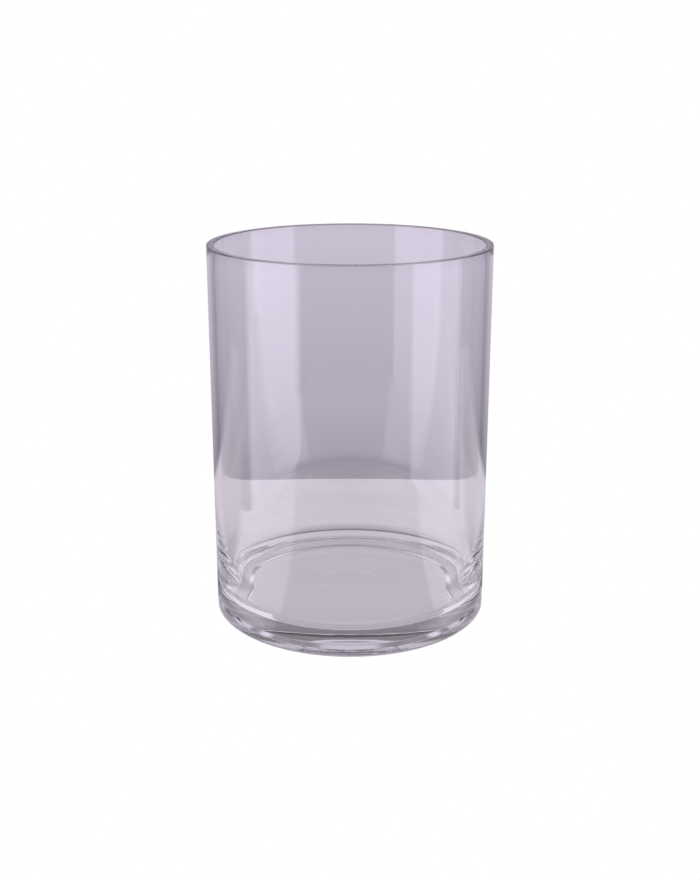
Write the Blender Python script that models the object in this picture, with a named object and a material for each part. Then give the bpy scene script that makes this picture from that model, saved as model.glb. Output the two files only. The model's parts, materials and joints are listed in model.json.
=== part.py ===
"""Glass cylinder vase for cut flowers: one heavy piece of clear soda-lime glass.

Units are metres, +Z is up, and the origin is at the middle of the ring that the vase stands on.
The glass is one body of revolution. Its half outline runs from the middle of the inside floor,
up the inner wall, over the cut rim, down the outer wall, round the heel, and across the
standing ring and the hollowed underside back to the axis. A Screw modifier turns that outline
once about the Z axis.
"""

import math

import bpy

# Driving sizes, in metres. Each one can be changed by itself.
HEIGHT = 0.200                  # standing ring to rim
OUTER_DIAMETER = 0.148          # outside of the wall
WALL_THICKNESS = 0.0040         # side wall, from the rim down to where it starts to thicken
BASE_THICKNESS = 0.0115         # underside of the standing ring to the inside floor
FOOT_SWELL = 0.0020             # how much thicker the wall is at its foot than at the rim
FOOT_SWELL_HEIGHT = 0.016       # how far up the wall that thickening has faded to about a third
FLOOR_FILLET_RADIUS = 0.0078    # where the thickened wall runs into the floor
HEEL_RADIUS = 0.0015            # where the outer wall runs into the standing ring
RIM_EDGE_RADIUS = 0.0006        # polished edges of the cut rim, inside and outside
STANDING_RING_WIDTH = 0.0130    # flat ring that touches the table
RECESS_DEPTH = 0.0016           # how far the underside is hollowed, so that it never rocks
RECESS_SLOPE_WIDTH = 0.0030     # slope between the standing ring and the hollow
MARK_RADIUS = 0.016             # round pad that the mould leaves in the middle of the hollow
MARK_HEIGHT = 0.0003            # how far the pad stands down out of the hollow
MARK_SLOPE_WIDTH = 0.0008       # slope at the edge of the pad

# Fineness of the facets.
SEGMENTS_AROUND = 96
STEPS_ON_FILLET = 6
STEPS_UP_WALL = 12
STEPS_ON_HEEL = 4
STEPS_ON_RIM_EDGE = 3
MERGE_DISTANCE = 0.00001

GLASS_COLOR = (0.87, 0.85, 0.90, 1.0)
GLASS_IOR = 1.52
GLASS_ROUGHNESS = 0.02


def clear_scene():
    """Remove every object, so that the file holds the vase alone."""
    for thing in list(bpy.data.objects):
        bpy.data.objects.remove(thing, do_unlink=True)


def clear_glass():
    """Clear polished glass with a faint lilac grey cast."""
    material = bpy.data.materials.new("clear_glass")
    material.use_nodes = True
    shader = material.node_tree.nodes["Principled BSDF"]
    shader.inputs["Base Color"].default_value = GLASS_COLOR
    shader.inputs["Metallic"].default_value = 0.0
    shader.inputs["Roughness"].default_value = GLASS_ROUGHNESS
    shader.inputs["IOR"].default_value = GLASS_IOR
    shader.inputs["Transmission Weight"].default_value = 1.0
    return material


def arc(center, radius, start_degrees, end_degrees, steps):
    """Points on a round corner of the outline, both ends included.

    A point is the center plus the radius times the cosine and sine of its angle, and the
    angles are spaced evenly from the start to the end.
    """
    points = []
    for step in range(steps + 1):
        angle = math.radians(start_degrees + (end_degrees - start_degrees) * step / steps)
        points.append((center[0] + radius * math.cos(angle), center[1] + radius * math.sin(angle)))
    return points


def swelling_wall(inner, bottom, top, steps):
    """Points up the inner wall, both ends included, closer together where the wall swells.

    The distance from the axis is that of the thin wall less the swell times a bell curve, which is
    e to the power of minus the square of the height above the bottom over the swell's height.
    """
    points = []
    for step in range(steps + 1):
        climb = (top - bottom) * (step / steps) ** 2
        swell = FOOT_SWELL * math.exp(-((climb / FOOT_SWELL_HEIGHT) ** 2))
        points.append((inner - swell, bottom + climb))
    return points


def vase_outline():
    """The half outline of the glass, as (distance from the axis, height) points."""
    outer = OUTER_DIAMETER / 2.0
    inner = outer - WALL_THICKNESS
    ring_outer = outer - HEEL_RADIUS
    ring_inner = ring_outer - STANDING_RING_WIDTH
    mark_level = RECESS_DEPTH - MARK_HEIGHT

    wall_foot = BASE_THICKNESS + FLOOR_FILLET_RADIUS
    fillet_center = (inner - FOOT_SWELL - FLOOR_FILLET_RADIUS, wall_foot)
    inner_edge_center = (inner + RIM_EDGE_RADIUS, HEIGHT - RIM_EDGE_RADIUS)
    outer_edge_center = (outer - RIM_EDGE_RADIUS, HEIGHT - RIM_EDGE_RADIUS)
    heel_center = (ring_outer, HEEL_RADIUS)

    outline = [(0.0, BASE_THICKNESS)]
    outline += arc(fillet_center, FLOOR_FILLET_RADIUS, -90.0, 0.0, STEPS_ON_FILLET)
    outline += swelling_wall(inner, wall_foot, HEIGHT - RIM_EDGE_RADIUS, STEPS_UP_WALL)[1:]
    outline += arc(inner_edge_center, RIM_EDGE_RADIUS, 180.0, 90.0, STEPS_ON_RIM_EDGE)[1:]
    outline += arc(outer_edge_center, RIM_EDGE_RADIUS, 90.0, 0.0, STEPS_ON_RIM_EDGE)
    outline += arc(heel_center, HEEL_RADIUS, 0.0, -90.0, STEPS_ON_HEEL)
    outline += [
        (ring_inner, 0.0),
        (ring_inner - RECESS_SLOPE_WIDTH, RECESS_DEPTH),
        (MARK_RADIUS + MARK_SLOPE_WIDTH, RECESS_DEPTH),
        (MARK_RADIUS, mark_level),
        (0.0, mark_level),
    ]
    return outline


def make_vase():
    """Turn the outline about the Z axis into the closed glass body."""
    outline = vase_outline()
    corners = [(radius, 0.0, height) for radius, height in outline]
    edges = [(index, index + 1) for index in range(len(corners) - 1)]
    mesh = bpy.data.meshes.new("vase_glass")
    mesh.from_pydata(corners, edges, [])
    mesh.materials.append(clear_glass())

    vase = bpy.data.objects.new("vase_glass", mesh)
    bpy.context.scene.collection.objects.link(vase)

    turn = vase.modifiers.new("turn", "SCREW")
    turn.axis = "Z"
    turn.angle = math.radians(360.0)
    turn.steps = SEGMENTS_AROUND
    turn.render_steps = SEGMENTS_AROUND
    turn.use_merge_vertices = True
    turn.merge_threshold = MERGE_DISTANCE
    turn.use_smooth_shade = True
    return vase


clear_scene()
make_vase()
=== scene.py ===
# %% [markdown]
# # A glass cylinder vase for cut flowers
#
# The real object is one heavy piece of clear soda-lime glass, 148 mm across and 200 mm tall. It is
# pressed and blown in a mould, cut off flat at the rim, and the cut is ground and polished. It has a
# straight thin wall, a thick foot, a soft corner inside where the wall meets the floor, and a slightly
# hollow underside, so that it stands on a ring and never rocks.
#
# Clear glass has hardly any colour of its own. Nearly all that the eye reads is the room, bent by the
# foot and mirrored by the walls. So this lesson has two halves of equal weight: a very exact surface of
# glass, and a quiet studio for it to bend.
#
# First the measured model is loaded. It is the frame that every size below is read from.

# %% Load the measured frame
import json
import math

import bpy
import numpy as np
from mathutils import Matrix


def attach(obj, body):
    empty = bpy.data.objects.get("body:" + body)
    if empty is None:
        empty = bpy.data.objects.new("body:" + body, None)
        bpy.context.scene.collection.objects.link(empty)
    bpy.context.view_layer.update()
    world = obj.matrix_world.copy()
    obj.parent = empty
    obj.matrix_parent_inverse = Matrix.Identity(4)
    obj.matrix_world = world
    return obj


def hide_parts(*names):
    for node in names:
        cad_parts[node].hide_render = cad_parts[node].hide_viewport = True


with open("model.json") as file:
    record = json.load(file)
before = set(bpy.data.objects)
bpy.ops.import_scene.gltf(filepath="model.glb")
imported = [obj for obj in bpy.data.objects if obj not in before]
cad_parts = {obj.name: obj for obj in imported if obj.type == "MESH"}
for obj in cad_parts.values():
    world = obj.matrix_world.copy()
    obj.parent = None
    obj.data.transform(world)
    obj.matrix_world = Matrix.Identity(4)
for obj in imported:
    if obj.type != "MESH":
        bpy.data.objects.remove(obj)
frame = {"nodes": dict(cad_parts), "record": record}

MM = 0.001
scene = bpy.context.scene
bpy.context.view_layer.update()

# %% [markdown]
# ## Reading the sizes
#
# A glassmaker works from a half section drawing: the outline of one wall, which is then turned about
# the axis. The measured model holds that section in its corners, so the sizes are read from there and
# are written nowhere else. Each one is a simple question, such as how far from the axis the lowest
# corners reach. Typing the numbers in again would also work, but then two files could disagree.
#
# Two of them need a little more thought. The fillet between floor and wall is a quarter circle, so at
# its upper end it has gone as far out as up. The wall above it swells by a bell curve, so the climb
# over the square root of the logarithm of the full swell over the swell there gives the curve's height.

# %% Read the half section
corners = np.zeros(len(frame["nodes"]["vase_glass"].data.vertices) * 3)
frame["nodes"]["vase_glass"].data.vertices.foreach_get("co", corners)
corners = corners.reshape(-1, 3)
reach = np.hypot(corners[:, 0], corners[:, 1])
level = corners[:, 2]
NEAR = 0.02 * MM
SWELL_READ_FROM = 2.0 * MM
SWELL_READ_TO = 20.0 * MM

mounts = {mount["name"]: mount for mount in frame["record"]["mounts"]}
base = mounts["inside_floor"]["pos_m"][2]
height = level.max()
outer = reach.max()
inner = reach[level > height / 2].min()
floor_edge = reach[abs(level - base) < NEAR].max()
heel = outer - reach[level < NEAR].max()
rim_edge = height - level[reach > outer - NEAR].max()
ring_inner = reach[level < NEAR].min()

inner_wall = (reach < inner - NEAR) & (level > base + NEAR)
further_out_than_up = np.where(inner_wall, abs((reach - floor_edge) - (level - base)), np.inf)
fillet = level[further_out_than_up.argmin()] - base
wall_foot = base + fillet
swell = inner - floor_edge - fillet
climb = level - wall_foot
swelling = inner_wall & (climb > SWELL_READ_FROM) & (climb < SWELL_READ_TO)
climbs = climb[swelling]
swell_height = np.median(climbs / np.sqrt(np.log(swell / (inner - reach[swelling]))))

underside = (level < base / 2) & (reach < ring_inner - NEAR)
hollow_level = level[underside].max()
hollow_reach = reach[underside].max()
mark_reach = reach[underside].min()

for name, size in (("height", height), ("outer radius", outer), ("inner radius", inner), ("base", base),
                   ("fillet", fillet), ("swell", swell), ("swell height", swell_height),
                   ("heel", heel), ("rim edge", rim_edge), ("ring inside", ring_inner),
                   ("hollow", hollow_level), ("hollow reach", hollow_reach), ("mark reach", mark_reach)):
    print(f"{name}: {size / MM:.2f} mm")

# %% [markdown]
# ## The camera
#
# The vase is looked at from the height of a person sitting at the table: the lens is a little above
# the rim and tips down by about 17 degrees, so that the floor shows through the front wall. The camera
# comes before the glass, because the walls and the foot are judged by what this one view does to them.

# %% Set up the camera
CAMERA_DISTANCE = 639.2 * MM
CAMERA_HEIGHT = 293.5 * MM
CAMERA_TIPS_DOWN = 17.43
FILM_SIDE = 36.0
FOCAL_LENGTH = 50.49
NEAREST_SEEN = 10 * MM

camera_data = bpy.data.cameras.new("camera")
camera_data.sensor_width = FILM_SIDE
camera_data.lens = FOCAL_LENGTH
camera_data.clip_start = NEAREST_SEEN
camera = bpy.data.objects.new("camera", camera_data)
scene.collection.objects.link(camera)
camera.location = (0.0, -CAMERA_DISTANCE, CAMERA_HEIGHT)
camera.rotation_euler = (math.radians(90.0 - CAMERA_TIPS_DOWN), 0.0, 0.0)
scene.camera = camera
print("camera looks from", [round(c, 3) for c in camera.location])

# %% [markdown]
# ## The outline of the glass
#
# The half section is made of straight runs, round corners and one long swell: soft glass sags while the
# vase is blown, so the wall gets thicker towards its foot, over the lowest few centimetres. That swell
# is what draws the slanting streaks low on both sides. A modeller could draw the section as a curve
# and let a Screw modifier turn it, but then every corner would get the same spacing of points. Light
# that passes through glass shows each kink of the surface much larger than it is, so here the points
# are placed by formula: close together where the shading turns, and wide apart where nothing happens.

# %% Straight runs, round corners and the swelling wall
def straight(start, end, steps):
    """Points on a straight run, both ends included, crowded towards the ends.

    The share of the way is half of one minus the cosine of an angle that grows evenly from 0 to 180
    degrees, and a point is the start plus that share of the way to the end.
    """
    share = (1.0 - np.cos(np.linspace(0.0, math.pi, steps + 1))) / 2.0
    return np.array(start) + share[:, None] * (np.array(end) - np.array(start))


def corner(center, radius, start_degrees, end_degrees, steps):
    """Points on a round corner, both ends included.

    A point is the center plus the radius times the cosine and sine of an angle that grows evenly.
    """
    angle = np.radians(np.linspace(start_degrees, end_degrees, steps + 1))
    return np.array(center) + radius * np.stack([np.cos(angle), np.sin(angle)], axis=1)


def swelling_wall(bottom, top, steps):
    """Points up the inner wall, both ends included, closer together where the wall swells.

    The distance from the axis is that of the thin wall less the swell times a bell curve, which is
    e to the power of minus the square of the climb over the swell's height.
    """
    climb = (top - bottom) * np.linspace(0.0, 1.0, steps + 1) ** 2
    reach_there = inner - swell * np.exp(-(climb / swell_height) ** 2)
    return np.stack([reach_there, bottom + climb], axis=1)


def join_runs(runs):
    """One chain of points from several runs, each without the point where the last one ended."""
    return np.vstack([runs[0]] + [run[1:] for run in runs[1:]])


# %% [markdown]
# The outline starts at the middle of the inside floor, climbs the inner wall, crosses the cut rim,
# comes down the outer wall, goes round the heel and returns to the axis under the foot. The round pad
# that the mould leaves in the middle of the foot is very low, and its edge has melted into a soft
# slope a few millimetres wide: on the real glass it is only just visible through the floor.

# %% Draw the half section
MARK_HEIGHT = 0.12 * MM
MARK_SLOPE = 2.0 * MM
FIRST_RING = 0.8 * MM
FLOOR_STEPS = 36
FILLET_STEPS = 28
INNER_WALL_STEPS = 60
RIM_EDGE_STEPS = 8
RIM_STEPS = 6
OUTER_WALL_STEPS = 44
HEEL_STEPS = 20
RING_STEPS = 12
HOLLOW_SLOPE_STEPS = 10
HOLLOW_STEPS = 12
MARK_SLOPE_STEPS = 4
MARK_STEPS = 8


def vase_outline():
    """The half section as two columns: distance from the axis, and height."""
    ring_outer = outer - heel
    rim_foot = height - rim_edge
    mark_low = hollow_level - MARK_HEIGHT
    mark_outer = mark_reach + MARK_SLOPE
    runs = [
        straight((FIRST_RING, base), (floor_edge, base), FLOOR_STEPS),
        corner((floor_edge, wall_foot), fillet, -90.0, 0.0, FILLET_STEPS),
        swelling_wall(wall_foot, rim_foot, INNER_WALL_STEPS),
        corner((inner + rim_edge, rim_foot), rim_edge, 180.0, 90.0, RIM_EDGE_STEPS),
        straight((inner + rim_edge, height), (outer - rim_edge, height), RIM_STEPS),
        corner((outer - rim_edge, rim_foot), rim_edge, 90.0, 0.0, RIM_EDGE_STEPS),
        straight((outer, rim_foot), (outer, heel), OUTER_WALL_STEPS),
        corner((ring_outer, heel), heel, 0.0, -90.0, HEEL_STEPS),
        straight((ring_outer, 0.0), (ring_inner, 0.0), RING_STEPS),
        straight((ring_inner, 0.0), (hollow_reach, hollow_level), HOLLOW_SLOPE_STEPS),
        straight((hollow_reach, hollow_level), (mark_outer, hollow_level), HOLLOW_STEPS),
        straight((mark_outer, hollow_level), (mark_reach, mark_low), MARK_SLOPE_STEPS),
        straight((mark_reach, mark_low), (FIRST_RING, mark_low), MARK_STEPS),
    ]
    return join_runs(runs)


outline = vase_outline()
print("outline points:", len(outline))

# %% [markdown]
# ## Waves in the glass
#
# The inner wall never touches metal while it is blown, so it keeps long low waves, strongest near the
# foot, where the glass was thickest and slowest to set. They are only about a hundredth of a millimetre
# deep, yet they bend what is seen through the wall into streaks. A bump pattern could fake the shine of
# such waves, but not the bending, so they are put into the shape itself: a sum of cosines around the
# vase that drift sideways with height, and faint rings that run round it just above the floor.

# %% Make the waves
WAVE_SEED = 11
WAVE_COUNT = 14
FEWEST_WAVES_AROUND = 5
MOST_WAVES_AROUND = 46
DRIFT_PER_METRE = 14.0
SUM_MADE_LOUDER = 2.5
FOOT_WAVE_DEPTH = 0.007 * MM
WALL_WAVE_DEPTH = 0.002 * MM
WAVES_FADE_OVER = 34 * MM
OUTSIDE_SHARE = 0.2
RING_WAVE_DEPTH = 0.006 * MM
RING_WAVE_LENGTH = 3.4 * MM
RING_WANDERS = ((2.0, 0.7, 0.8 * MM), (5.0, 2.1, 0.5 * MM))
RING_WAVES_FADE_OVER = 16 * MM


def waves_around(angle, up):
    """A sum of cosines of the angle, between about minus one and one.

    Each cosine has its own number of waves around, its own start, and a drift that grows with the
    height, and it is weaker the more waves it has.
    """
    dice = np.random.default_rng(WAVE_SEED)
    number = dice.integers(FEWEST_WAVES_AROUND, MOST_WAVES_AROUND, WAVE_COUNT)
    start = dice.uniform(0.0, 2.0 * math.pi, WAVE_COUNT)
    drift = dice.normal(0.0, DRIFT_PER_METRE, WAVE_COUNT)
    weight = 1.0 / np.sqrt(number)
    phase = number * angle[..., None] + start + drift * up[..., None]
    return (np.cos(phase) * weight).sum(axis=-1) / weight.sum() * SUM_MADE_LOUDER


def wave_depth(up):
    """How deep the waves are at a height: deepest at the floor, fading by a bell curve above it."""
    fade = np.exp(-((up - base) / WAVES_FADE_OVER) ** 2)
    return WALL_WAVE_DEPTH + (FOOT_WAVE_DEPTH - WALL_WAVE_DEPTH) * fade


def ring_waves(angle, up):
    """Waves that run round the vase like the rings of a pond, and fade by a bell curve above the floor.

    The height is shifted a little by two slow cosines of the angle, so that no ring is quite level.
    """
    wander = sum(depth * np.cos(number * angle + start) for number, start, depth in RING_WANDERS)
    fade = np.exp(-((up - base) / RING_WAVES_FADE_OVER) ** 2)
    return RING_WAVE_DEPTH * fade * np.cos(2.0 * math.pi * (up + wander) / RING_WAVE_LENGTH)


# %% Turn the outline into glass
SEGMENTS_AROUND = 320
CALM_BELOW_RIM = 12.0 * MM
CALM_ABOVE_HEEL = 6.0 * MM


def turned_surface(section):
    """The section turned about the axis, as a grid of points: one row for each outline point.

    A point's distance from the axis is that of the section plus the depth of the waves there times
    the sum of cosines. The inner wall takes the whole wave, the outer wall a fifth of it the other
    way, and the rim, the floor and the underside take none.
    """
    angle = np.arange(SEGMENTS_AROUND) * (2.0 * math.pi / SEGMENTS_AROUND)
    radius, turn = np.meshgrid(section[:, 0], angle, indexing="ij")
    up, turn = np.meshgrid(section[:, 1], angle, indexing="ij")

    inside = (radius < inner + NEAR) & (up > base - NEAR)
    outside = (abs(radius - outer) < NEAR) & (up > heel)
    clear_of_rim = np.clip((height - rim_edge - up) / CALM_BELOW_RIM, 0.0, 1.0)
    rises_inside = np.clip((up - base) / fillet, 0.0, 1.0)
    rises_outside = np.clip((up - heel) / CALM_ABOVE_HEEL, 0.0, 1.0)
    share = inside * rises_inside * clear_of_rim
    share = np.where(outside, -OUTSIDE_SHARE * rises_outside * clear_of_rim, share)
    wave = wave_depth(up) * waves_around(turn, up) + ring_waves(turn, up)
    waved = radius - share * wave
    return np.stack([waved * np.cos(turn), waved * np.sin(turn), up], axis=-1)


def skin_grid(rows, around):
    """Faces that join the rows of a turned surface, four corners each, facing out of the glass.

    Corner number row times the number around plus the place around is joined to the corner above
    it, and to the same two corners one place further round.
    """
    row = np.arange(rows - 1)[:, None] * around
    next_row = row + around
    here = np.arange(around)[None, :]
    beside = (here + 1) % around
    return np.stack([row + here, next_row + here, next_row + beside, row + beside], axis=-1)


def make_vase_mesh(section):
    """The closed skin of the vase: the turned grid, and a fan of faces at each end of the axis."""
    grid = turned_surface(section)
    rows = len(section)
    points = grid.reshape(-1, 3)
    floor_middle = len(points)
    foot_middle = floor_middle + 1
    points = np.vstack([points, (0.0, 0.0, section[0, 1]), (0.0, 0.0, section[-1, 1])])

    here = np.arange(SEGMENTS_AROUND)
    beside = (here + 1) % SEGMENTS_AROUND
    last = (rows - 1) * SEGMENTS_AROUND
    floor_fan = np.stack([np.full(SEGMENTS_AROUND, floor_middle), here, beside], axis=-1)
    foot_fan = np.stack([np.full(SEGMENTS_AROUND, foot_middle), last + beside, last + here], axis=-1)
    quads = skin_grid(rows, SEGMENTS_AROUND).reshape(-1, 4)

    mesh = bpy.data.meshes.new("clear_glass_vase")
    faces = quads.tolist() + floor_fan.tolist() + foot_fan.tolist()
    mesh.from_pydata(points.tolist(), [], faces)
    mesh.update()
    mesh.shade_smooth()
    return mesh


vase = bpy.data.objects.new("clear_glass_vase", make_vase_mesh(outline))
scene.collection.objects.link(vase)
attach(vase, "root")
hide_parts("vase_glass")
print("vase:", len(vase.data.vertices), "points,", len(vase.data.polygons), "faces")

# %% [markdown]
# ## The glass
#
# Soda-lime glass bends light by an index of 1.52 and lets through nearly all of it. What iron is left
# in the sand greys the light a little on the long ways through the foot, with a trace of green, and
# does nothing to speak of on the 4 mm through the wall. So the shader is plain clear glass, and that
# tint sits in the volume.
#
# The finish is not the same everywhere. The walls are fire polished and as smooth as a liquid. The rim
# was cut with a wheel, ground on its two edges and then polished, but a trace of the grinding is left,
# which turns its reflections into a soft grey. The standing ring is scuffed by every shelf it has been
# pushed over. Both are read from the height above the table, so they stay on the glass from any side.

# %% Small helpers for shader nodes
def add_node(tree, kind, **settings):
    """A new node of that kind in the tree, with its settings filled in."""
    node = tree.nodes.new(kind)
    for name, value in settings.items():
        setattr(node, name, value)
    return node


def calculate(tree, operation, first, second=None):
    """The result of one sum on one or two values, each a number or another node's output."""
    node = add_node(tree, "ShaderNodeMath", operation=operation)
    for socket, value in zip(node.inputs, (first, second)):
        if isinstance(value, bpy.types.NodeSocket):
            tree.links.new(value, socket)
        elif value is not None:
            socket.default_value = value
    return node.outputs[0]


def soft_step(tree, value, start, end, low=0.0, high=1.0):
    """Low before the start, high after the end, and an even S-shaped change between them."""
    node = add_node(tree, "ShaderNodeMapRange", interpolation_type="SMOOTHSTEP")
    tree.links.new(value, node.inputs["Value"])
    node.inputs["From Min"].default_value = start
    node.inputs["From Max"].default_value = end
    node.inputs["To Min"].default_value = low
    node.inputs["To Max"].default_value = high
    return node.outputs["Result"]


def band(tree, value, start, end, softness):
    """One where the value lies between the start and the end, zero elsewhere, with soft edges."""
    middle = (start + end) / 2.0
    half = (end - start) / 2.0
    off_middle = calculate(tree, "ABSOLUTE", calculate(tree, "SUBTRACT", value, middle))
    return soft_step(tree, off_middle, half + softness, half - softness)


def heading_of(tree, split):
    """The heading of a point or a direction in degrees: 0 towards the lens, and positive to the right."""
    away = calculate(tree, "MULTIPLY", split.outputs["Y"], -1.0)
    return calculate(tree, "DEGREES", calculate(tree, "ARCTAN2", split.outputs["X"], away))


# %% Grind the rim and scuff the ring
RIM_FINISH_STARTS = 0.9 * MM
RIM_FINISH_IS_FULL = 0.2 * MM
GROUND_RIM_ROUGHNESS = 0.36
GRINDING_SCALE = 1400.0
GRINDING_CLOUDS = (0.3, 0.7)
LEAST_GRINDING = 0.6
RING_FINISH_ENDS = 0.30 * MM
RING_FINISH_IS_FULL = 0.05 * MM
SCUFFED_RING_ROUGHNESS = 0.06
SCUFF_SCALE = 520.0
SCUFF_DETAIL = 3.0
SCUFF_CLOUDS = (0.52, 0.66)
EVEN = (1.0, 1.0, 1.0)


def noise(tree, where, scale, stretch, detail=2.0):
    """A cloudy pattern on the piece's own coordinates, stretched along the axes."""
    place = add_node(tree, "ShaderNodeMapping")
    place.inputs["Scale"].default_value = stretch
    tree.links.new(where, place.inputs["Vector"])
    cloud = add_node(tree, "ShaderNodeTexNoise")
    cloud.inputs["Scale"].default_value = scale
    cloud.inputs["Detail"].default_value = detail
    tree.links.new(place.outputs["Vector"], cloud.inputs["Vector"])
    return cloud.outputs["Fac"]


def rim_roughness(tree, where, up):
    """The rim's roughness: its share of the rim, times the cloudy grinding, times the full value."""
    on_rim = soft_step(tree, up, height - RIM_FINISH_STARTS, height - RIM_FINISH_IS_FULL)
    clouds = noise(tree, where, GRINDING_SCALE, EVEN)
    grinding = soft_step(tree, clouds, *GRINDING_CLOUDS, LEAST_GRINDING, 1.0)
    ground = calculate(tree, "MULTIPLY", on_rim, grinding)
    return calculate(tree, "MULTIPLY", ground, GROUND_RIM_ROUGHNESS)


def ring_roughness(tree, where, up):
    """The standing ring's roughness: its share of the ring, times the scuffs, times the full value."""
    on_ring = soft_step(tree, up, RING_FINISH_ENDS, RING_FINISH_IS_FULL)
    clouds = noise(tree, where, SCUFF_SCALE, EVEN, SCUFF_DETAIL)
    scuffed = calculate(tree, "MULTIPLY", on_ring, soft_step(tree, clouds, *SCUFF_CLOUDS))
    return calculate(tree, "MULTIPLY", scuffed, SCUFFED_RING_ROUGHNESS)


print("roughest: rim", GROUND_RIM_ROUGHNESS, "and standing ring", SCUFFED_RING_ROUGHNESS)

# %% [markdown]
# Where two streams of melted glass meet, thin threads of slightly different glass stay in it, drawn
# out along the height. A glassmaker calls them cords. They are no more than a breath of unevenness in
# the shine, so they are a very weak bump made of a cloud that is stretched upwards.

# %% Mix the glass
GLASS_INDEX = 1.52
GLASS_TINT = (0.985, 0.98, 0.985, 1.0)
IRON_TINT = (0.925, 0.935, 0.925, 1.0)
IRON_STRENGTH = 6.0
CORD_SCALE = 60.0
CORD_STRETCH = (1.0, 1.0, 0.12)
CORD_BUMP = 0.02
CORD_DEPTH = 1.0 * MM


def cord_bump(tree, where):
    """The bump of the cords, as the direction that the surface seems to face."""
    bump = add_node(tree, "ShaderNodeBump")
    bump.inputs["Strength"].default_value = CORD_BUMP
    bump.inputs["Distance"].default_value = CORD_DEPTH
    tree.links.new(noise(tree, where, CORD_SCALE, CORD_STRETCH), bump.inputs["Height"])
    return bump.outputs["Normal"]


def make_clear_glass():
    """Clear glass with a ground rim, a scuffed standing ring and fine cords."""
    material = bpy.data.materials.new("clear_glass")
    material.use_nodes = True
    tree = material.node_tree
    glass = tree.nodes["Principled BSDF"]
    glass.inputs["Base Color"].default_value = GLASS_TINT
    glass.inputs["Metallic"].default_value = 0.0
    glass.inputs["IOR"].default_value = GLASS_INDEX
    glass.inputs["Transmission Weight"].default_value = 1.0

    where = add_node(tree, "ShaderNodeTexCoord").outputs["Object"]
    split = add_node(tree, "ShaderNodeSeparateXYZ")
    tree.links.new(where, split.inputs["Vector"])
    up = split.outputs["Z"]
    rough = calculate(tree, "ADD", rim_roughness(tree, where, up), ring_roughness(tree, where, up))
    tree.links.new(rough, glass.inputs["Roughness"])
    tree.links.new(cord_bump(tree, where), glass.inputs["Normal"])

    iron = add_node(tree, "ShaderNodeVolumeAbsorption")
    iron.inputs["Color"].default_value = IRON_TINT
    iron.inputs["Density"].default_value = IRON_STRENGTH
    tree.links.new(iron.outputs["Volume"], tree.nodes["Material Output"].inputs["Volume"])
    return material


vase.data.materials.append(make_clear_glass())
print("glass nodes:", len(vase.data.materials[0].node_tree.nodes))

# %% [markdown]
# ## The table
#
# The vase stands on a plain pale table in front of a plain wall. To the lens both are burnt out to
# white, as on a well lit product table. Inside the glass it is different: there, the table's far
# edge makes the level line behind the vase, a painted shadow darkens the table softly where the thick
# foot would keep the light away, and painted light makes it brighter on the side of the lights. A real
# table under real lamps would give the same picture with much more noise, so the table glows by a
# formula of the distance from the vase, with its shade and light painted in.

# %% Ask who is looking
WHITE = (1.0, 1.0, 1.0, 1.0)
BEEN_MIRRORED = 0.5


def mirrored_rays(tree, path):
    """One for a ray that has been mirrored in the glass at least once, and zero for any other."""
    return calculate(tree, "GREATER_THAN", path.outputs["Glossy Depth"], BEEN_MIRRORED)


def show_lens_white(tree, path, light, white_kind, output_kind):
    """The end of a tree: plain white to the lens itself, and the given light to every other ray."""
    white = add_node(tree, white_kind)
    white.inputs["Color"].default_value = WHITE
    mix = add_node(tree, "ShaderNodeMixShader")
    share, if_not_lens, if_lens = mix.inputs
    tree.links.new(path.outputs["Is Camera Ray"], share)
    tree.links.new(light, if_not_lens)
    tree.links.new(white.outputs[0], if_lens)
    output = add_node(tree, output_kind)
    tree.links.new(mix.outputs[0], output.inputs["Surface"])


# %% Blend and grade colours
COLOR_A, COLOR_B, COLOR_RESULT = 6, 7, 2


def blend_colors(tree, share, first, second):
    """The first colour where the share is zero, the second where it is one, and a blend between.

    A Mix node has sockets of the same name for each kind of value. Those for colours are picked by
    their place in the list.
    """
    node = add_node(tree, "ShaderNodeMix", data_type="RGBA")
    tree.links.new(share, node.inputs["Factor"])
    tree.links.new(first, node.inputs[COLOR_A])
    tree.links.new(second, node.inputs[COLOR_B])
    return node.outputs[COLOR_RESULT]


def brightness_ramp(tree, value, lowest, highest, stops, tint):
    """A ramp from a value to a tinted brightness, with a stop for each pair of value and brightness.

    A stop's place on the ramp is its value less the lowest, over the highest less the lowest. Its
    colour is the tint times its brightness.
    """
    ramp = add_node(tree, "ShaderNodeValToRGB")
    elements = ramp.color_ramp.elements
    while len(elements) < len(stops):
        elements.new(0.5)
    for element, (place, brightness) in zip(elements, stops):
        element.position = (place - lowest) / (highest - lowest)
        element.color = [brightness * part for part in tint] + [1.0]
    share = calculate(tree, "DIVIDE", calculate(tree, "SUBTRACT", value, lowest), highest - lowest)
    tree.links.new(share, ramp.inputs["Fac"])
    return ramp.outputs["Color"]


# %% Place the light boxes
LEFT_BOX = (-90.5, -40.5)
RIGHT_BOX = (51.0, 98.0)
BOX_SOFTNESS = 1.2


def light_boxes(tree, heading):
    """One where a heading in degrees points at a light box, and zero elsewhere, with soft edges."""
    left = band(tree, heading, *LEFT_BOX, BOX_SOFTNESS)
    right = band(tree, heading, *RIGHT_BOX, BOX_SOFTNESS)
    return calculate(tree, "ADD", left, right)


print("light boxes at", LEFT_BOX, "and", RIGHT_BOX, "degrees")
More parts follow.
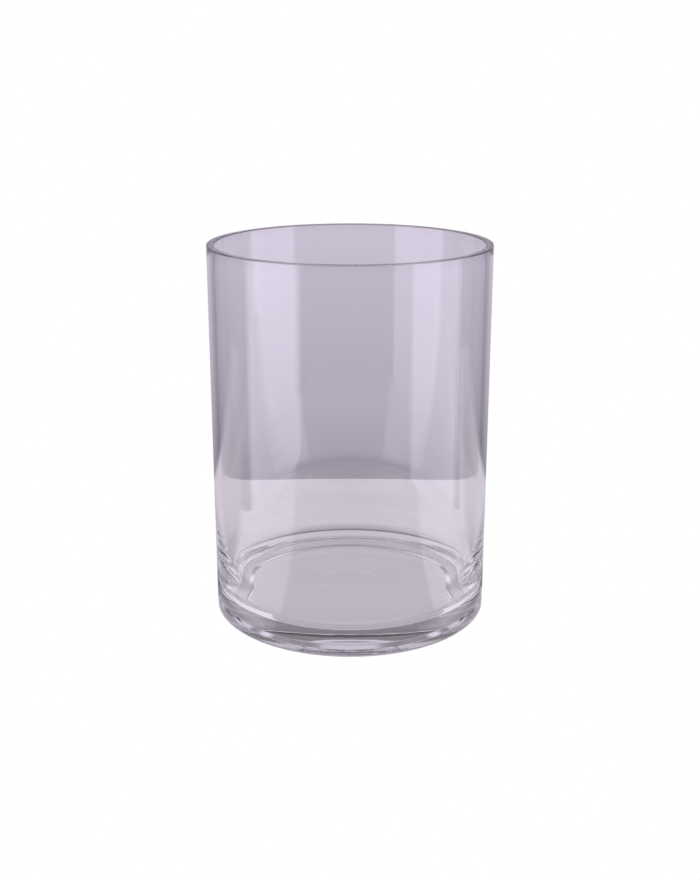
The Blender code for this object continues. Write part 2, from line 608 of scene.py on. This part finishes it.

# %% [markdown]
# The table's painted brightness is read off two ramps, one for the side of the lights and one for the
# rest. Each is a list of distances from the middle of the vase in millimetres, with the brightness
# there: painted shade close around the foot, and painted light further out on the side of the lights.
# A narrow ring of painted shadow and the painted shine of the two light boxes are added on top, for
# mirrored rays alone.

# %% Shade the table
# Painted shade and light: the ramps darken the table around the foot and brighten it towards the lights.
TABLE_TINT = (1.0, 0.93, 1.05)
WIDEST_SHADE = 400.0
SHADE_AROUND = ((0.0, 0.56), (40.0, 0.55), (57.0, 0.53), (60.0, 0.42), (67.0, 0.40), (69.0, 0.46),
                (74.0, 0.48), (76.0, 0.62), (84.5, 0.56), (86.0, 0.17), (88.5, 0.17), (90.0, 0.42),
                (98.0, 0.46), (110.0, 0.54), (118.0, 0.60), (200.0, 0.64), (400.0, 0.62))
SHADE_TOWARDS_LIGHTS = ((0.0, 0.56), (40.0, 0.55), (58.0, 0.53), (61.0, 0.42), (67.0, 0.42), (69.0, 0.48),
                        (74.0, 0.46), (77.0, 0.05), (88.0, 0.05), (94.0, 0.74), (108.0, 0.78),
                        (118.0, 0.95), (155.0, 1.05), (250.0, 0.95), (400.0, 0.50))
FOOT_SHADE = 78.0
LIGHT_SIDE_STARTS = 30.0 * MM
LIGHT_SIDE_IS_FULL = -60.0 * MM


def table_shade(tree, split, distance, mirrored):
    """The table's colour by its distance in millimetres: the light side's, or else the plain ramp's.

    The light side counts for mirrored rays, and for any ray that meets the table under the foot. Both
    ramps hold painted shade around the foot and painted light on the side of the lights.
    """
    under_foot = calculate(tree, "LESS_THAN", distance, FOOT_SHADE)
    counts = calculate(tree, "MAXIMUM", mirrored, under_foot)
    light_side = soft_step(tree, split.outputs["Y"], LIGHT_SIDE_STARTS, LIGHT_SIDE_IS_FULL)
    around = brightness_ramp(tree, distance, 0.0, WIDEST_SHADE, SHADE_AROUND, TABLE_TINT)
    lights = brightness_ramp(tree, distance, 0.0, WIDEST_SHADE, SHADE_TOWARDS_LIGHTS, TABLE_TINT)
    return blend_colors(tree, calculate(tree, "MULTIPLY", light_side, counts), around, lights)


print("table shades:", len(SHADE_AROUND), "and", len(SHADE_TOWARDS_LIGHTS), "stops")

# %% Mix the table's painted shade and light
# Painted light and shadow: the boxes' shine on the table is a painted reflection, and the ring is a painted
# shadow.
BOX_ON_TABLE = 0.8
SHADOW_RING = (79.5, 90.5)
SHADOW_RING_SOFTNESS = 1.0
SHADOW_RING_KEEPS = 0.42


def table_strength(tree, split, distance, mirrored):
    """One, plus the painted shine of the boxes and less the painted ring of shadow where the ray has been
    mirrored.
    """
    lit = calculate(tree, "MULTIPLY", light_boxes(tree, heading_of(tree, split)), BOX_ON_TABLE)
    in_ring = band(tree, distance, *SHADOW_RING, SHADOW_RING_SOFTNESS)
    ring_shade = calculate(tree, "MULTIPLY", in_ring, 1.0 - SHADOW_RING_KEEPS)
    change = calculate(tree, "SUBTRACT", lit, ring_shade)
    return calculate(tree, "ADD", calculate(tree, "MULTIPLY", change, mirrored), 1.0)


def make_table_painted_shade_and_light():
    """White to the lens, and to light that comes through the glass a glow with painted shade softly around
    the foot and painted light towards the lights.

    The distance in millimetres is the square root of the sum of the squares of X and Y.
    """
    material = bpy.data.materials.new("pale_table_painted_shade")
    material.use_nodes = True
    tree = material.node_tree
    tree.nodes.clear()
    where = add_node(tree, "ShaderNodeTexCoord").outputs["Object"]
    split = add_node(tree, "ShaderNodeSeparateXYZ")
    tree.links.new(where, split.inputs["Vector"])
    across = calculate(tree, "MULTIPLY", split.outputs["X"], split.outputs["X"])
    along = calculate(tree, "MULTIPLY", split.outputs["Y"], split.outputs["Y"])
    distance = calculate(tree, "SQRT", calculate(tree, "ADD", across, along))
    distance = calculate(tree, "DIVIDE", distance, MM)

    path = add_node(tree, "ShaderNodeLightPath")
    mirrored = mirrored_rays(tree, path)
    # The table glows with its painted shade and painted light.
    glow = add_node(tree, "ShaderNodeEmission")
    tree.links.new(table_shade(tree, split, distance, mirrored), glow.inputs["Color"])
    tree.links.new(table_strength(tree, split, distance, mirrored), glow.inputs["Strength"])
    show_lens_white(tree, path, glow.outputs[0], "ShaderNodeEmission", "ShaderNodeOutputMaterial")
    return material


# %% Lay the table
TABLE_BEHIND = 200 * MM
TABLE_IN_FRONT = 400 * MM
TABLE_HALF_WIDTH = 240 * MM
SHELF_HALF_WIDTH = 700 * MM
SHELF_FRONT = 60 * MM
TABLE_BELOW_FOOT = 0.05 * MM


def lay_table():
    """One flat top, a hair below the foot: a shelf along the wall, and a narrower part in front of it."""
    right_side = [(TABLE_HALF_WIDTH, -TABLE_IN_FRONT), (TABLE_HALF_WIDTH, 0.0),
                  (SHELF_HALF_WIDTH, SHELF_FRONT), (SHELF_HALF_WIDTH, TABLE_BEHIND)]
    left_side = [(-across, along) for across, along in reversed(right_side)]
    edges = right_side + left_side
    mesh = bpy.data.meshes.new("table")
    mesh.from_pydata([(x, y, -TABLE_BELOW_FOOT) for x, y in edges], [], [range(len(edges))])
    mesh.materials.append(make_table_painted_shade_and_light())
    table = bpy.data.objects.new("table", mesh)
    scene.collection.objects.link(table)
    return table


table = lay_table()
print("table:", [round(side / MM) for side in table.dimensions], "mm")

# %% [markdown]
# ## The light
#
# The studio is a soft tent: a lilac grey wall behind the vase that gets darker towards the table, and a
# long soft light box on each side, a little in front. The boxes are what draws the tall bright bands
# on the walls of the vase. They stand in the surroundings by their direction, so they have no stands,
# no edges in the picture and no noise. The lens itself sees plain white around the vase.

# %% Hang the wall of the tent
TENT_TINT = (1.0, 0.917, 1.11)
STRAIGHT_DOWN = -90.0
STRAIGHT_UP = 90.0
WALL_BEHIND = ((-90.0, 0.30), (-22.0, 0.34), (-18.7, 0.32), (-17.3, 0.375), (-15.5, 0.44), (-13.0, 0.50),
               (-10.8, 0.535), (-7.3, 0.62), (-2.0, 0.70), (0.0, 0.80), (8.0, 0.68), (12.0, 0.64),
               (18.0, 0.58), (21.5, 0.16), (24.5, 0.14), (26.0, 0.22), (28.5, 0.22), (31.0, 0.45),
               (34.0, 0.75), (38.0, 0.70), (41.0, 0.22), (58.0, 0.25), (62.0, 0.62), (67.5, 0.62),
               (69.5, 0.20), (90.0, 0.14))
WALL_IN_FRONT = ((-90.0, 0.30), (-22.0, 0.34), (-15.0, 0.42), (-5.0, 0.45), (7.5, 0.45), (9.0, 0.04),
                 (40.0, 0.04), (50.0, 0.12), (90.0, 0.12))
FRONT_STARTS = 0.15
FRONT_IS_FULL = -0.15


def tent_wall(tree, split, rise, mirrored):
    """The wall's colour by its angle above the table: the front's for mirrored rays, or the back's.

    Each ramp is a list of angles in degrees, from straight down to straight up, with the brightness.
    """
    in_front = soft_step(tree, split.outputs["Y"], FRONT_STARTS, FRONT_IS_FULL)
    behind = brightness_ramp(tree, rise, STRAIGHT_DOWN, STRAIGHT_UP, WALL_BEHIND, TENT_TINT)
    front = brightness_ramp(tree, rise, STRAIGHT_DOWN, STRAIGHT_UP, WALL_IN_FRONT, TENT_TINT)
    return blend_colors(tree, calculate(tree, "MULTIPLY", in_front, mirrored), behind, front)


print("tent wall:", len(WALL_BEHIND), "stops behind and", len(WALL_IN_FRONT), "in front")

# %% [markdown]
# The tent is not the same all round. Behind each light box, to the left and the right of the vase, the
# room is darker below the height of the table and has a little light of its own above it. The boxes
# themselves fade out from just above the table upwards.

# %% Light the sides
BOX_TINT = (1.0, 0.93, 1.08, 1.0)
BOX_STRENGTH = 1.3
BOX_STARTS_FADING = 4.0
BOX_HAS_FADED = 14.0
BOX_ABOVE = 0.2
DARK_SIDE = (102.0, 152.0)
DARK_SIDE_SOFTNESS = 8.0
DARK_SIDE_STRENGTH = 0.38
DARK_SIDE_FADES = (4.0, -4.0)
SIDE_LIGHT_ABOVE = 0.16
SIDE_LIGHT_GROWS = (0.0, 8.0)


def dark_sides(tree, heading, mirrored):
    """One on the two dark sides, by the heading's size alone, and zero for rays not mirrored."""
    turned = calculate(tree, "ABSOLUTE", heading)
    dark = band(tree, turned, *DARK_SIDE, DARK_SIDE_SOFTNESS)
    return calculate(tree, "MULTIPLY", dark, mirrored)


def wall_strength(tree, rise, dark):
    """One, less what the dark sides take away below the level of the table."""
    taken = soft_step(tree, rise, *DARK_SIDE_FADES, 0.0, DARK_SIDE_STRENGTH)
    return calculate(tree, "SUBTRACT", 1.0, calculate(tree, "MULTIPLY", dark, taken))


def side_strength(tree, heading, rise, dark, mirrored):
    """The strength of the boxes, which fade with the angle above the table, plus the sides' own light."""
    fading = soft_step(tree, rise, BOX_STARTS_FADING, BOX_HAS_FADED, BOX_STRENGTH, BOX_STRENGTH * BOX_ABOVE)
    boxes = calculate(tree, "MULTIPLY", light_boxes(tree, heading), mirrored)
    side_light = calculate(tree, "MULTIPLY", dark, SIDE_LIGHT_ABOVE)
    above = calculate(tree, "MULTIPLY", soft_step(tree, rise, *SIDE_LIGHT_GROWS), side_light)
    return calculate(tree, "ADD", calculate(tree, "MULTIPLY", boxes, fading), above)


print("box strength:", BOX_STRENGTH, "fading between", BOX_STARTS_FADING, "and", BOX_HAS_FADED, "degrees")

# %% Build the light tent
def build_tent():
    """The surroundings: a wall that changes with the angle above the table, and two light boxes.

    The angle above the table is the arc sine of the height of the ray's direction, in degrees.
    """
    world = bpy.data.worlds.new("light_tent")
    world.use_nodes = True
    tree = world.node_tree
    tree.nodes.clear()
    path = add_node(tree, "ShaderNodeLightPath")
    mirrored = mirrored_rays(tree, path)
    direction = add_node(tree, "ShaderNodeTexCoord").outputs["Generated"]
    split = add_node(tree, "ShaderNodeSeparateXYZ")
    tree.links.new(direction, split.inputs["Vector"])
    heading = heading_of(tree, split)
    rise = calculate(tree, "DEGREES", calculate(tree, "ARCSINE", split.outputs["Z"]))
    dark = dark_sides(tree, heading, mirrored)

    wall_light = add_node(tree, "ShaderNodeBackground")
    tree.links.new(tent_wall(tree, split, rise, mirrored), wall_light.inputs["Color"])
    tree.links.new(wall_strength(tree, rise, dark), wall_light.inputs["Strength"])
    box_light = add_node(tree, "ShaderNodeBackground")
    box_light.inputs["Color"].default_value = BOX_TINT
    tree.links.new(side_strength(tree, heading, rise, dark, mirrored), box_light.inputs["Strength"])
    tent = add_node(tree, "ShaderNodeAddShader")
    tree.links.new(wall_light.outputs[0], tent.inputs[0])
    tree.links.new(box_light.outputs[0], tent.inputs[1])
    show_lens_white(tree, path, tent.outputs[0], "ShaderNodeBackground", "ShaderNodeOutputWorld")
    return world


scene.world = build_tent()
print("tent nodes:", len(scene.world.node_tree.nodes))

# %% [markdown]
# Light that gets into the thick foot is mirrored from face to face many times before it finds its way
# out. If the renderer gives up too early, those paths come back black, so the limits are raised. The
# picture is shown as plain numbers, with no film look, so that white stays white.

# %% Let the light travel
LONGEST_PATH = 32
scene.cycles.max_bounces = LONGEST_PATH
scene.cycles.glossy_bounces = LONGEST_PATH
scene.cycles.transmission_bounces = LONGEST_PATH
scene.view_settings.view_transform = "Standard"
print("longest path:", LONGEST_PATH, "steps")
